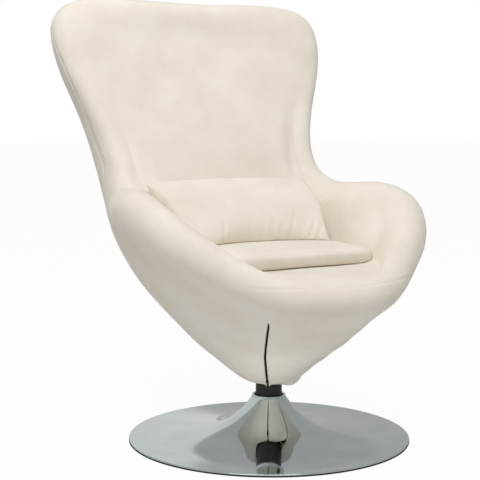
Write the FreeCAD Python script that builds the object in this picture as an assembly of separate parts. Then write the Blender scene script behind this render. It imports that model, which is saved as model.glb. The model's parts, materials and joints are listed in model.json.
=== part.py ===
import FreeCAD, Part
import math
import os

os.makedirs("parts", exist_ok=True)
V = FreeCAD.Vector

# Driving sizes of the base, the column and the swivel
base_radius = 310.0
trumpet_height = 92.0
trumpet_wall = 2.0
lip_bead = 2.4
spun_sides = 48
trim_height = 2.95
trim_width = 9.0
trim_stand_out = 0.6
ballast_radius = 150.0
ballast_bottom = 8.0
ballast_top = 14.0
collar_bottom = 66.0
collar_top = 76.0
column_radius = 25.0
column_wall = 2.5
sleeve_radius = 29.0
sleeve_wall = 3.6
spindle_radius = 13.0
spindle_bottom = 28.0
bush_gap = 0.05
liner_bottom = 36.0
groove_radius = 11.5
groove_bottom = 32.0
circlip_radius = 19.0
circlip_height = 2.4
circlip_slit = 8.0
bolt_radius = 6.0
bolt_head_radius = 10.5
bolt_head_height = 4.5
bolt_flange_radius = 16.0
bolt_flange = 1.6
foot_top = 26.0
edge_break = 0.8
seat_of_parts = 0.1

# Driving size of the seat, which its net of points is a share of
net = 1000.0

# Driving sizes of the seat plate and the shell bottom
fit_gap = 0.3
ring_bottom = net * 0.1331
ring_height = 13.6
ring_outer_radius = 52.0
ring_width = 17.0
ring_inner_radius = ring_outer_radius - ring_width
ring_top = ring_bottom + ring_height
shell_floor = ring_top + fit_gap
shell_wall = 6.0
shell_hole_margin = 2.0
shell_hole_radius = ring_inner_radius - shell_hole_margin
plate_margin = 2.0
plate_radius = ring_outer_radius + plate_margin
plate_height = 5.0
plate_bottom = shell_floor + shell_wall + fit_gap + seat_of_parts
hub_radius = 22.0
hub_height = 12.2
liner_flange = 4.0
column_top = plate_bottom - hub_height - liner_flange - seat_of_parts * 2
fixing_radius = ring_outer_radius - ring_width / 2
fixing_bolt_radius = 4.0
fixing_head_radius = 6.5
fixing_head_height = 4.5
fixing_count = 4
nut_radius = 6.5
nut_height = 5.0
nut_play = 0.5
sleeve_stop = 9.5
sleeve_top = column_top - sleeve_stop

# Driving sizes of the upholstery
hem_wall = 2.6
layer_gap = 0.3
padding_depth = 10.7
board_bottom = net * 0.262
board_top = net * 0.280
foam_joint = 0.5
seat_level = net * 0.395
zip_half_width = 1.7
zip_play = 0.3
zip_recess = 0.9
zip_height = 1.9
slider_half_width = 3.2
slider_height = 3.4
arm_joint_x = net * 0.168
back_joint_y = net * 0.118

# Driving sizes of the loose cushions, worked out from the size of the seat that they lie in
pad_lift = 0.8
pad_thickness = net * 0.031
pad_half_width = net * 0.180
pad_front = net * 0.170
pad_back = net * 0.110
pillow_half_width = net * 0.208
pillow_half_height = net * 0.086
pillow_half_thickness = net * 0.046
pillow_bow = net * 0.030
pillow_lean = 50.0
pillow_y = net * 0.1085
pillow_z = net * 0.4940

# Stations of the net: front middle, round the arm and up the wing to the top middle, as shares of the net size
rim_shares = (
    (0.0, -0.306, 0.350), (0.081, -0.287, 0.353), (0.141, -0.243, 0.367), (0.204, -0.195, 0.403),
    (0.272, -0.136, 0.456), (0.318, -0.060, 0.512), (0.308, 0.034, 0.526), (0.278, 0.112, 0.517),
    (0.258, 0.188, 0.530), (0.237, 0.244, 0.582), (0.246, 0.284, 0.653), (0.276, 0.318, 0.735),
    (0.324, 0.356, 0.835), (0.344, 0.388, 0.928), (0.292, 0.408, 0.970), (0.132, 0.416, 0.967),
    (0.0, 0.418, 0.964))
roll_shares = (0.040, 0.040, 0.042, 0.043, 0.047, 0.050, 0.052, 0.050, 0.040, 0.031, 0.029, 0.028,
               0.028, 0.028, 0.028, 0.028, 0.028)
outer_shares = (
    (0.0, -0.314, 0.304), (0.083, -0.297, 0.304), (0.150, -0.247, 0.317), (0.212, -0.201, 0.352),
    (0.296, -0.156, 0.390), (0.354, -0.066, 0.430), (0.342, 0.034, 0.436), (0.309, 0.123, 0.438),
    (0.298, 0.202, 0.470), (0.292, 0.274, 0.520), (0.284, 0.332, 0.592), (0.290, 0.371, 0.680),
    (0.318, 0.407, 0.775), (0.328, 0.428, 0.850), (0.250, 0.448, 0.890), (0.116, 0.460, 0.897),
    (0.0, 0.464, 0.897))
belly_shares = (
    (0.0, -0.252, 0.262), (0.069, -0.240, 0.262), (0.122, -0.200, 0.271), (0.176, -0.162, 0.290),
    (0.236, -0.116, 0.318), (0.274, -0.043, 0.343), (0.288, 0.038, 0.349), (0.268, 0.106, 0.357),
    (0.248, 0.158, 0.375), (0.236, 0.208, 0.395), (0.222, 0.246, 0.425), (0.214, 0.280, 0.470),
    (0.200, 0.306, 0.510), (0.172, 0.326, 0.545), (0.132, 0.340, 0.560), (0.066, 0.348, 0.565),
    (0.0, 0.350, 0.565))
inner_shares = (
    (0.0, -0.215, 0.394), (0.078, -0.208, 0.394), (0.126, -0.190, 0.397), (0.170, -0.166, 0.399),
    (0.194, -0.102, 0.420), (0.208, -0.040, 0.444), (0.210, 0.026, 0.457), (0.200, 0.082, 0.468),
    (0.182, 0.134, 0.488), (0.168, 0.180, 0.528), (0.162, 0.224, 0.592), (0.166, 0.268, 0.668),
    (0.186, 0.316, 0.758), (0.186, 0.346, 0.842), (0.142, 0.363, 0.876), (0.066, 0.373, 0.882),
    (0.0, 0.375, 0.883))
wall_shares = (
    (0.0, -0.190, 0.395), (0.062, -0.188, 0.395), (0.116, -0.172, 0.395), (0.157, -0.143, 0.395),
    (0.183, -0.088, 0.398), (0.192, -0.032, 0.404), (0.192, 0.022, 0.410), (0.181, 0.066, 0.418),
    (0.162, 0.104, 0.426), (0.142, 0.134, 0.442), (0.124, 0.160, 0.466), (0.108, 0.182, 0.494),
    (0.092, 0.196, 0.522), (0.072, 0.206, 0.546), (0.050, 0.212, 0.560), (0.025, 0.215, 0.566),
    (0.0, 0.216, 0.568))
seat_shares = (
    (0.0, -0.165), (0.050, -0.162), (0.098, -0.149), (0.138, -0.122), (0.162, -0.076), (0.170, -0.028),
    (0.168, 0.020), (0.156, 0.058), (0.140, 0.084), (0.120, 0.104), (0.100, 0.118), (0.080, 0.127),
    (0.062, 0.133), (0.046, 0.137), (0.031, 0.140), (0.015, 0.142), (0.0, 0.142))
# Front lip, where the padding falls away like a waterfall: points of two rows at the first three stations
lip_shares = (
    (0.0, -0.275, 0.388, 0.0, -0.245, 0.392),
    (0.080, -0.268, 0.388, 0.077, -0.238, 0.392),
    (0.148, -0.238, 0.394, 0.140, -0.214, 0.394))

# Angles of the stations round the lower egg, from the front
station_angles = (0, 16, 32, 48, 64, 81, 97, 111, 122, 131, 138, 145, 151, 157, 163, 171, 180)
station_count = len(station_angles)
full_turn = 2 * (station_count - 1)

# Stations that a ring passes through: each one, and halves at the zips and the corners of the arms and wings
half_stations = (0, 1, 1.5, 2, 2.5, 3, 3.5, 4, 5, 6, 7, 8, 9, 10, 11, 12, 13, 13.5, 14, 15, 16)
ring_stations = half_stations + tuple(full_turn - s for s in half_stations[-2:0:-1])

# Places along the rows: bottom seam, under-rim seam, inner rim seam, middle of the seat
hem_place = 0.6
under_rim_place = 5.0
inner_rim_place = 9.0
seat_place = 15.0
belly_places = (1.0, 1.6, 2.3, 3.0, 3.7, 4.4)
roll_places = (5.5, 6.0, 6.4, 6.8, 7.2, 7.6, 8.0, 8.5)
inside_places = (9.5, 10.0, 10.5, 11.0, 11.5, 12.0, 12.5, 13.0, 14.0)
hidden_places = (0.8, 1.4, 2.4, 3.7, 4.93)
joint_share = 0.012
chord_share = 0.4
level_share = 0.999
zip_places = (0.9, 1.2, 1.6, 2.0, 2.5, 3.0, 3.5, 4.0, 4.4)
slider_places = (0.66, 0.76, 0.86)
zip_bow_places = (0.0, 1.6, 2.6, 3.5, 4.4)
zip_bow_angles = (32.6, 33.2, 33.0, 31.4, 30.2)

# Outline of the seat pad as shares of its half width, front and back
pad_outline_power = 0.28
pad_back_taper = 0.30
pad_ring_shares = (
    (0.30, 0.0), (0.62, 0.01), (0.86, 0.11), (0.975, 0.32), (1.0, 0.54), (0.985, 0.74), (0.94, 0.90),
    (0.84, 0.985), (0.62, 1.0), (0.30, 1.0))
cushion_stations = 28
pillow_power = 0.24
pillow_taper = 0.06
pillow_ring_shares = (
    (0.30, -0.97), (0.62, -0.86), (0.84, -0.58), (0.96, -0.22), (1.0, 0.0), (0.96, 0.22), (0.84, 0.58),
    (0.62, 0.86), (0.30, 0.97))

# Spun trumpet base: outline as shares of the base radius and the trumpet height, from the rim to the lip
trumpet_shares = (
    (1.0, 0.055), (0.83, 0.089), (0.65, 0.142), (0.50, 0.222), (0.38, 0.319), (0.28, 0.444), (0.205, 0.582),
    (0.155, 0.741), (0.127, 0.893), (0.116, 0.985))

# Rings of the egg's lower part: angles from the front, then radii and heights as shares of the net size. The
# three at the neck keep to the hem ring inside them
neck_share = ring_outer_radius / net
ring_tables = (
    ((0, 32, 64, 90, 122, 150, 180),
     (0.196, 0.187, 0.200, 0.215, 0.227, 0.252, 0.268), (0.222, 0.225, 0.255, 0.262, 0.285, 0.320, 0.335)),
    ((0, 64, 122, 180), (0.112, 0.116, 0.128, 0.146), (0.174, 0.178, 0.188, 0.205)),
    ((0, 180), (neck_share * 1.44, neck_share * 1.44), (0.141, 0.141)),
    ((0, 180), (neck_share * 0.96, neck_share * 0.96), (0.126, 0.126)),
    ((0, 180), (neck_share * 0.635, neck_share * 0.635), (0.124, 0.124)))


def between(at, places, values):
    for i in range(len(places) - 1):
        if at <= places[i + 1]:
            part = (at - places[i]) / float(places[i + 1] - places[i])
            return values[i] + part * (values[i + 1] - values[i])
    return values[-1]


def ring(table):
    row = []
    for angle in station_angles:
        r = net * between(angle, table[0], table[1])
        z = net * between(angle, table[0], table[2])
        a = math.radians(angle)
        row.append(V(r * math.sin(a), -r * math.cos(a), z))
    return row


def placed(shares):
    return [V(net * s[0], net * s[1], net * s[2]) for s in shares]


def mirrored(point):
    return V(-point.x, point.y, point.z)


def unit(v):
    return v / v.Length


# Rows of the half net from the hub under the egg, over the rim, to the middle of the seat
def half_rows():
    rim = placed(rim_shares)
    outer = placed(outer_shares)
    inner = placed(inner_shares)
    row1, row2, row3, row4, row5 = [], [], [], [], []
    middle = V(0, 0, net * 0.45)
    for k in range(station_count):
        before = rim[k - 1] if k > 0 else mirrored(rim[1])
        after = rim[k + 1] if k < station_count - 1 else mirrored(rim[k - 1])
        along = unit(after - before)
        down = outer[k] - rim[k]
        down = unit(down - along * down.dot(along))
        out = along.cross(down)
        if out.dot(rim[k] - middle) < 0:
            out = out * -1.0
        h = net * roll_shares[k]
        wing = min(max((k - 6) / 3.0, 0.0), 1.0)
        row1.append(rim[k] + out * (h * 0.95) + down * (h * 0.8))
        row2.append(rim[k] + out * (h * 0.95) - down * (h * 0.35))
        row3.append(rim[k] - down * (h * 0.85))
        row4.append(rim[k] - out * h - down * (h * (0.5 + 0.6 * wing)))
        row5.append((row4[k] + inner[k]) / 2)
    for k, shares in enumerate(lip_shares):
        row4[k] = V(net * shares[0], net * shares[1], net * shares[2])
        row5[k] = V(net * shares[3], net * shares[4], net * shares[5])
    seat = [V(net * s[0], net * s[1], seat_level) for s in seat_shares]
    rings = [ring(t) for t in ring_tables]
    rows = [rings[4], rings[3], rings[2], rings[1], rings[0], placed(belly_shares), outer,
            row1, row2, row3, row4, row5, inner, placed(wall_shares), seat]
    for share in (0.8, 0.5, 0.2):
        rows.append([V(p.x * share, p.y * share, p.z) for p in seat])
    return rows


def whole(half):
    rows = []
    for row in half:
        rows.append(list(row) + [mirrored(p) for p in reversed(row[1:-1])])
    return rows


# Same net moved inward by a depth for each row
def inset(rows, depths):
    n = len(rows[0])
    moved = []
    for j, row in enumerate(rows):
        new = []
        for i in range(n):
            around = rows[j][(i + 1) % n] - rows[j][i - 1]
            low = rows[max(j - 1, 0)][i]
            high = rows[min(j + 1, len(rows) - 1)][i]
            normal = around.cross(high - low)
            new.append(row[i] - unit(normal) * depths[j])
        moved.append(new)
    return moved


def surface(rows):
    around = len(rows[0])
    count = len(rows)
    grid = [[rows[j][i] for j in range(count)] for i in range(around)]
    s = Part.BSplineSurface()
    v_mults = [4] + [1] * (count - 4) + [4]
    s.buildFromPolesMultsKnots(grid, [1] * (around + 1), v_mults, list(range(around + 1)),
                               list(range(count - 2)), True, False, 3, 3)
    return s


def ring_on(s, place):
    return [s.value((station - 1) % full_turn, place) for station in ring_stations]


# Two triangles of a field between rings, split along one diagonal or else along the shorter one
def field(a, b, c, d, rising=None):
    if rising is None:
        rising = (c - a).Length < (d - b).Length * level_share
    if rising:
        return [flat_face(a, b, c), flat_face(a, c, d)]
    return [flat_face(a, b, d), flat_face(b, c, d)]


# Solid through a row of rings: closed like a hose ring, or capped by fans of faces at both ends. The strips on
# the two sides of the joint under the rim are split the same way, so that they stay parallel
def ringed(rings, closed, joint=None, joint_rising=True):
    count = len(rings[0])
    pairs = list(zip(rings, rings[1:]))
    if closed:
        pairs.append((rings[-1], rings[0]))
    faces = []
    for n, (low, high) in enumerate(pairs):
        for k in range(count):
            rising = None
            if n == joint:
                rising = (k < count / 2) == joint_rising
            after = (k + 1) % count
            faces += field(low[k], low[after], high[after], high[k], rising)
    if not closed:
        for end in (rings[0], rings[-1]):
            middle = sum(end, V(0, 0, 0)) / count
            faces += [flat_face(middle, end[k], end[(k + 1) % count]) for k in range(count)]
    return solid_of(faces)


def solid_of(faces):
    shell = Part.makeShell(faces)
    shell.sewShape()
    solid = Part.makeSolid(shell)
    if solid.Volume < 0:
        solid.reverse()
    return solid


def flat_face(*points):
    return Part.Face(Part.makePolygon(list(points) + [points[0]]))


# Turned piece from a half section of radius and height pairs
def turned(pairs):
    points = [V(r, 0, z) for r, z in pairs]
    points.append(points[0])
    face = Part.Face(Part.makePolygon(points))
    return face.revolve(V(0, 0, 0), V(0, 0, 1), 360)


# Piece spun round the upright axis with many flat sides, which keeps a wide thin wall light
def spun(pairs):
    rings = []
    for r, z in pairs:
        turns = [2 * math.pi * k / spun_sides for k in range(spun_sides)]
        rings.append([V(r * math.cos(a), r * math.sin(a), z) for a in turns])
    faces = []
    for low, high in zip(rings, rings[1:] + rings[:1]):
        for k in range(spun_sides):
            after = (k + 1) % spun_sides
            faces.append(flat_face(low[k], low[after], high[after], high[k]))
    return solid_of(faces)


def tube(outer_r, inner_r, low, high):
    return turned([(inner_r, low), (outer_r, low), (outer_r, high), (inner_r, high)])


def hexagon(across, low, high, x=0.0, y=0.0):
    points = []
    for k in range(7):
        a = math.radians(60 * k)
        points.append(V(x + across * math.cos(a), y + across * math.sin(a), low))
    return Part.Face(Part.makePolygon(points)).extrude(V(0, 0, high - low))


def save(name, shape):
    if shape.ShapeType != "Solid" and len(shape.Solids) == 1:
        shape = shape.Solids[0]
    print(name, shape.ShapeType, shape.isValid(), round(shape.Volume), len(shape.Faces))
    shape.exportStep("parts/" + name + ".step")


# Foot spun from sheet, with a rolled lip and a collar welded inside that holds the column
def trumpet_base():
    outer = [(base_radius * r, trumpet_height * z) for r, z in trumpet_shares]
    inner = []
    for k, p in enumerate(outer):
        after = outer[min(k + 1, len(outer) - 1)]
        before = outer[max(k - 1, 0)]
        slope = math.atan2(after[1] - before[1], before[0] - after[0])
        inner.append((p[0] - trumpet_wall * math.sin(slope), p[1] - trumpet_wall * math.cos(slope)))
    lip = outer[-1]
    bead = [(lip[0] + lip_bead, trumpet_height - lip_bead * 2), (lip[0] + lip_bead, trumpet_height - lip_bead),
            (lip[0], trumpet_height), (lip[0] - lip_bead, trumpet_height)]
    r = (column_radius + bush_gap) / math.cos(math.pi / spun_sides)
    bore = [(inner[-1][0], collar_top), (r, collar_top), (r, collar_bottom)]
    low_part = [p for p in inner if p[1] < collar_bottom]
    meet = between_pairs(inner, collar_bottom)
    return spun(outer[:-1] + bead + bore + [(meet, collar_bottom)] + low_part[::-1])


# Radius at which an outline of radius and height pairs passes a height
def between_pairs(pairs, height):
    for (r0, z0), (r1, z1) in zip(pairs, pairs[1:]):
        if z0 <= height <= z1:
            return r0 + (r1 - r0) * (height - z0) / (z1 - z0)
    return pairs[-1][0]


def base_edge_trim():
    r = base_radius + trim_stand_out
    return tube(r, r - trim_width, 0.0, trim_height)


def ballast_plate():
    return tube(ballast_radius, bolt_radius + edge_break, ballast_bottom, ballast_top)


# Flanged bolt that draws the column down on the ballast plate
def column_bolt():
    low = ballast_bottom - seat_of_parts
    head = hexagon(bolt_head_radius, low - bolt_flange - bolt_head_height, low - bolt_flange)
    flange = Part.makeCylinder(bolt_flange_radius, bolt_flange, V(0, 0, low - bolt_flange))
    shank = Part.makeCylinder(bolt_radius - bush_gap, foot_top - low, V(0, 0, low))
    return head.fuse(flange).fuse(shank)


# Column: a tube with a tapped plug welded into its foot
def column_tube():
    low = ballast_top + seat_of_parts
    r = column_radius
    wall = column_radius - column_wall
    return turned([(bolt_radius, low), (r, low), (r, column_top), (wall, column_top), (wall, foot_top),
                   (bolt_radius, foot_top)])


def column_sleeve():
    return tube(sleeve_radius, sleeve_radius - sleeve_wall, collar_top + seat_of_parts * 5, sleeve_top)


# Nylon liner that the spindle turns in, with a flange on top that carries the seat
def column_liner():
    outer_r = column_radius - column_wall - bush_gap
    inner_r = spindle_radius + bush_gap
    low = column_top + seat_of_parts
    return turned([(inner_r, liner_bottom), (outer_r, liner_bottom), (outer_r, low), (column_radius, low),
                   (column_radius, low + liner_flange), (inner_r, low + liner_flange)])


def spindle_circlip():
    low = groove_bottom + seat_of_parts
    ring_body = tube(circlip_radius, groove_radius + bush_gap, low, low + circlip_height)
    slit = Part.makeBox(circlip_radius * 2, circlip_slit, circlip_height * 3,
                        V(0, -circlip_slit / 2, low - circlip_height))
    return ring_body.cut(slit)


def fixing_places():
    places = []
    for k in range(fixing_count):
        a = 2 * math.pi * (k + 0.5) / fixing_count
        places.append((fixing_radius * math.cos(a), fixing_radius * math.sin(a)))
    return places


def drilled(body, radius, low, high):
    for x, y in fixing_places():
        body = body.cut(Part.makeCylinder(radius, high - low, V(x, y, low)))
    return body


# Seat plate with its hub, its spindle and its bolts welded on, grooved at the foot for the circlip
def seat_plate():
    low = column_top + seat_of_parts * 2 + liner_flange
    r = spindle_radius
    groove_top = groove_bottom + circlip_height + seat_of_parts * 2
    top = plate_bottom + plate_height
    body = turned([(0, spindle_bottom), (r, spindle_bottom), (r, groove_bottom), (groove_radius, groove_bottom),
                   (groove_radius, groove_top), (r, groove_top), (r, low), (hub_radius, low),
                   (hub_radius, plate_bottom), (plate_radius, plate_bottom), (plate_radius, top), (0, top)])
    for x, y in fixing_places():
        body = body.fuse(plate_bolt(x, y))
    return body


# Bolt through the plate, the shell and the hem ring, with its nut let into the ring
def plate_bolt(x, y):
    top = plate_bottom + plate_height
    low = ring_bottom + seat_of_parts * 2
    nut_top = low + nut_height
    shank = Part.makeCylinder(fixing_bolt_radius, top - low, V(x, y, low))
    head = hexagon(fixing_head_radius, top, top + fixing_head_height, x, y)
    return shank.fuse(head).fuse(hexagon(nut_radius, low, nut_top, x, y))


def hem_ring():
    body = tube(ring_outer_radius, ring_inner_radius, ring_bottom, ring_top)
    body = drilled(body, fixing_bolt_radius + seat_of_parts, ring_bottom - edge_break, ring_top + edge_break)
    top = ring_bottom + nut_height + seat_of_parts * 3
    for x, y in fixing_places():
        body = body.cut(hexagon(nut_radius + nut_play, ring_bottom - edge_break, top, x, y))
    return body


# The egg's one outer surface, from which each padded piece and the shell are taken
full = whole(half_rows())
skin = surface(full)


def inside(depth):
    return surface(inset(full, [depth] * len(full)))


def rings_on(s, places):
    return [ring_on(s, p) for p in places]


def circle_ring(radius, z):
    points = []
    for p in ring_on(skin, 0.0):
        a = math.atan2(p.y, p.x)
        points.append(V(radius * math.cos(a), radius * math.sin(a), z))
    return points


def outer_padding():
    back = inside(padding_depth)
    front = (hem_place + joint_share,) + belly_places + (under_rim_place - joint_share,)
    body = ringed(rings_on(skin, front) + rings_on(back, hidden_places[::-1]), True)
    for side in (-1, 1):
        deep = zip_recess + zip_height + zip_play
        body = body.cut(zip_plate(side, zip_half_width + zip_play, -zip_height, deep, zip_places))
        deep = slider_height + zip_play
        body = body.cut(zip_plate(side, slider_half_width + zip_play, -zip_height, deep, slider_places))
    return body


def hem_panel():
    back = inside(hem_wall)
    places = (0.0, 0.3, hem_place - joint_share)
    return ringed(rings_on(skin, places) + rings_on(back, places[::-1]), True)


def shell_frame():
    low = inside(padding_depth + layer_gap)
    high = inside(padding_depth + layer_gap + shell_wall)
    floor = shell_floor
    rings = [circle_ring(shell_hole_radius, floor), circle_ring(ring_outer_radius, floor)]
    rings += rings_on(low, hidden_places) + rings_on(high, hidden_places[::-1])
    rings += [circle_ring(ring_outer_radius - edge_break, floor + shell_wall),
              circle_ring(shell_hole_radius, floor + shell_wall)]
    return drilled(ringed(rings, True), fixing_bolt_radius + seat_of_parts, floor - shell_wall,
                   floor + shell_wall * 2)


def core(depth):
    back = inside(depth)
    floor = shell_floor + shell_wall + layer_gap
    rings = [circle_ring(ring_outer_radius - edge_break, floor)]
    rings += rings_on(back, hidden_places[:-1])
    rings += joint_rings(under_rim_place - joint_share, inner_rim_place + joint_share)
    rings += rings_on(skin, inside_places + (seat_place,))
    return ringed(rings, False, len(hidden_places))


def block(x0, x1, y0, y1, z0, z1):
    return Part.makeBox(x1 - x0, y1 - y0, z1 - z0, V(x0, y0, z0))


# Rings on the straight joint between the rim roll and the foam behind it: one part of the way, and its end
def joint_rings(under_place, over_place):
    under, over = rings_on(skin, (under_place, over_place))
    return [[p + (q - p) * chord_share for p, q in zip(under, over)], over]


def rim_roll():
    rings = rings_on(skin, (under_rim_place + joint_share,) + roll_places)
    rings += joint_rings(under_rim_place + joint_share, inner_rim_place - joint_share)[::-1]
    return ringed(rings, True, len(rings) - 2, False)


# Strip along a zip's bowed line on the skin, between two depths under it
def zip_plate(side, half_width, shallow, deep, places):
    path, inward = [], []
    for place in places:
        u = zip_parameter(place)
        path.append(skin.value(u, place))
        normal = unit(skin.normal(u, place))
        inward.append(normal if normal.dot(path[-1] - V(0, 0, seat_level)) < 0 else normal * -1.0)
    rings = []
    for k, p in enumerate(path):
        along = unit(path[min(k + 1, len(path) - 1)] - path[max(k - 1, 0)])
        across = unit(inward[k].cross(along)) * half_width
        corners = [p - across + inward[k] * shallow, p + across + inward[k] * shallow,
                   p + across + inward[k] * deep, p - across + inward[k] * deep]
        rings.append([q if side > 0 else mirrored(q) for q in corners])
    return ringed(rings, False)


# Place round the net at which the skin crosses the zip's angle from the front
def zip_parameter(place):
    wanted = math.radians(between(place, zip_bow_places, zip_bow_angles))
    low, high = 0.0, 3.0
    for halving in range(30):
        middle = (low + high) / 2
        p = skin.value(middle, place)
        if math.atan2(p.x, -p.y) < wanted:
            low = middle
        else:
            high = middle
    return (low + high) / 2


def zip_strip(side):
    return zip_plate(side, zip_half_width, zip_recess, zip_recess + zip_height, zip_places)


def zip_slider(side):
    return zip_plate(side, slider_half_width, seat_of_parts, slider_height, slider_places)


def pad_rings():
    rings = []
    for scale, rise in pad_ring_shares:
        ring_points = []
        for k in range(cushion_stations):
            t = 2 * math.pi * k / cushion_stations
            c, d = math.cos(t), math.sin(t)
            x = math.copysign(abs(d) ** pad_outline_power, d)
            y = math.copysign(abs(c) ** pad_outline_power, c)
            x *= pad_half_width * (1 - pad_back_taper * max(-y, 0))
            y = -y * (pad_front if y > 0 else pad_back)
            ring_points.append(V(x * scale, y * scale, seat_level + pad_lift + pad_thickness * rise))
        rings.append(ring_points)
    return rings


def seat_pad():
    return ringed(pad_rings(), False)


def pillow_rings():
    lean = math.radians(pillow_lean)
    up = V(0, math.sin(lean), math.cos(lean))
    out = V(0, -math.cos(lean), math.sin(lean))
    middle = V(0, pillow_y, pillow_z)
    rings = []
    for scale, swell in pillow_ring_shares:
        ring_points = []
        for k in range(cushion_stations):
            t = 2 * math.pi * k / cushion_stations
            c, d = math.cos(t), math.sin(t)
            rise = math.copysign(abs(c) ** pillow_power, c)
            h = rise * pillow_half_height * scale
            wide = pillow_half_width * (1 + pillow_taper * rise)
            x = math.copysign(abs(d) ** pillow_power, d) * wide * scale
            bow = pillow_bow * (x / pillow_half_width) ** 2
            ring_points.append(middle + V(x, -bow, 0) + up * h + out * (pillow_half_thickness * swell))
        rings.append(ring_points)
    return rings


def lumbar_pillow():
    return ringed(pillow_rings(), False)


def build():
    save("trumpet_base", trumpet_base())
    save("base_edge_trim", base_edge_trim())
    save("ballast_plate", ballast_plate())
    save("column_bolt", column_bolt())
    save("column_tube", column_tube())
    save("column_sleeve", column_sleeve())
    save("column_liner", column_liner())
    save("spindle_circlip", spindle_circlip())
    save("seat_plate", seat_plate())
    save("hem_ring", hem_ring())
    save("hem_panel", hem_panel())
    save("shell_frame", shell_frame())
    save("outer_padding", outer_padding())
    save("rim_roll", rim_roll())
    wide = base_radius * 2
    filling = core(padding_depth + layer_gap * 2 + shell_wall)
    gap = foam_joint / 2
    low = board_top + gap
    save("seat_padding", filling.common(block(-arm_joint_x + gap, arm_joint_x - gap, -wide, back_joint_y - gap,
                                              low, wide * 2)))
    save("back_padding", filling.common(block(-wide, wide, back_joint_y + gap, wide, low, wide * 2)))
    save("left_arm_padding", filling.common(block(arm_joint_x + gap, wide, -wide, back_joint_y - gap,
                                                  low, wide * 2)))
    save("right_arm_padding", filling.common(block(-wide, -arm_joint_x - gap, -wide, back_joint_y - gap,
                                                   low, wide * 2)))
    save("seat_board", filling.common(block(-wide, wide, -wide, wide, board_bottom, board_top)))
    for side, hand in ((-1, "right"), (1, "left")):
        save("zip_" + hand, zip_strip(side))
        save("zip_slider_" + hand, zip_slider(side))
    save("seat_pad", seat_pad())
    save("lumbar_pillow", lumbar_pillow())


build()
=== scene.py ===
import json
import math
import bpy
import numpy as np
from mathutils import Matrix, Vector
from mathutils.bvhtree import BVHTree


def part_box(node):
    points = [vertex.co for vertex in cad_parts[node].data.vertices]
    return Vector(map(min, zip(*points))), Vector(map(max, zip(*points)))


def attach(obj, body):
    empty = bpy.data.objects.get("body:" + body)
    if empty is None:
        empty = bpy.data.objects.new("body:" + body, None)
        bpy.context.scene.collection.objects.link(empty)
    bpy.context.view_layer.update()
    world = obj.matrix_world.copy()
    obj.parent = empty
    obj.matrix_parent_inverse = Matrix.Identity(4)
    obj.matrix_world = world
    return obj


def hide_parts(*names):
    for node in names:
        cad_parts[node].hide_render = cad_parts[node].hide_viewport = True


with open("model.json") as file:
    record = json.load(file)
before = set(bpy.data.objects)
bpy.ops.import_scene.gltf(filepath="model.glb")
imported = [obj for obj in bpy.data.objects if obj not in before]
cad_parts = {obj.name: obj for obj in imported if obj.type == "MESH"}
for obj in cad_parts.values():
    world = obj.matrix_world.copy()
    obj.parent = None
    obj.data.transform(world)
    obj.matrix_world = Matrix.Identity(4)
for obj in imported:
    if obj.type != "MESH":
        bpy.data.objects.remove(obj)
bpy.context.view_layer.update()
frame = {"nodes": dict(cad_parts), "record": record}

# The seat's net, in metres: stations run from the front middle round the arm and up the wing to the top
rim_points = (
    (0.0, -0.306, 0.350), (0.081, -0.287, 0.353), (0.141, -0.243, 0.367), (0.204, -0.195, 0.403),
    (0.272, -0.136, 0.456), (0.318, -0.060, 0.512), (0.308, 0.034, 0.526), (0.278, 0.112, 0.517),
    (0.258, 0.188, 0.530), (0.237, 0.244, 0.582), (0.246, 0.284, 0.653), (0.276, 0.318, 0.735),
    (0.324, 0.356, 0.835), (0.344, 0.388, 0.928), (0.292, 0.408, 0.970), (0.132, 0.416, 0.967),
    (0.0, 0.418, 0.964))
roll_depths = (0.040, 0.040, 0.042, 0.043, 0.047, 0.050, 0.052, 0.050, 0.040, 0.031, 0.029, 0.028,
               0.028, 0.028, 0.028, 0.028, 0.028)
outer_points = (
    (0.0, -0.314, 0.304), (0.083, -0.297, 0.304), (0.150, -0.247, 0.317), (0.212, -0.201, 0.352),
    (0.296, -0.156, 0.390), (0.354, -0.066, 0.430), (0.342, 0.034, 0.436), (0.309, 0.123, 0.438),
    (0.298, 0.202, 0.470), (0.292, 0.274, 0.520), (0.284, 0.332, 0.592), (0.290, 0.371, 0.680),
    (0.318, 0.407, 0.775), (0.328, 0.428, 0.850), (0.250, 0.448, 0.890), (0.116, 0.460, 0.897),
    (0.0, 0.464, 0.897))
belly_points = (
    (0.0, -0.252, 0.262), (0.069, -0.240, 0.262), (0.122, -0.200, 0.271), (0.176, -0.162, 0.290),
    (0.236, -0.116, 0.318), (0.274, -0.043, 0.343), (0.288, 0.038, 0.349), (0.268, 0.106, 0.357),
    (0.248, 0.158, 0.375), (0.236, 0.208, 0.395), (0.222, 0.246, 0.425), (0.214, 0.280, 0.470),
    (0.200, 0.306, 0.510), (0.172, 0.326, 0.545), (0.132, 0.340, 0.560), (0.066, 0.348, 0.565),
    (0.0, 0.350, 0.565))
inner_points = (
    (0.0, -0.215, 0.394), (0.078, -0.208, 0.394), (0.126, -0.190, 0.397), (0.170, -0.166, 0.399),
    (0.194, -0.102, 0.420), (0.208, -0.040, 0.444), (0.210, 0.026, 0.457), (0.200, 0.082, 0.468),
    (0.182, 0.134, 0.488), (0.168, 0.180, 0.528), (0.162, 0.224, 0.592), (0.166, 0.268, 0.668),
    (0.186, 0.316, 0.758), (0.186, 0.346, 0.842), (0.142, 0.363, 0.876), (0.066, 0.373, 0.882),
    (0.0, 0.375, 0.883))
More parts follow.
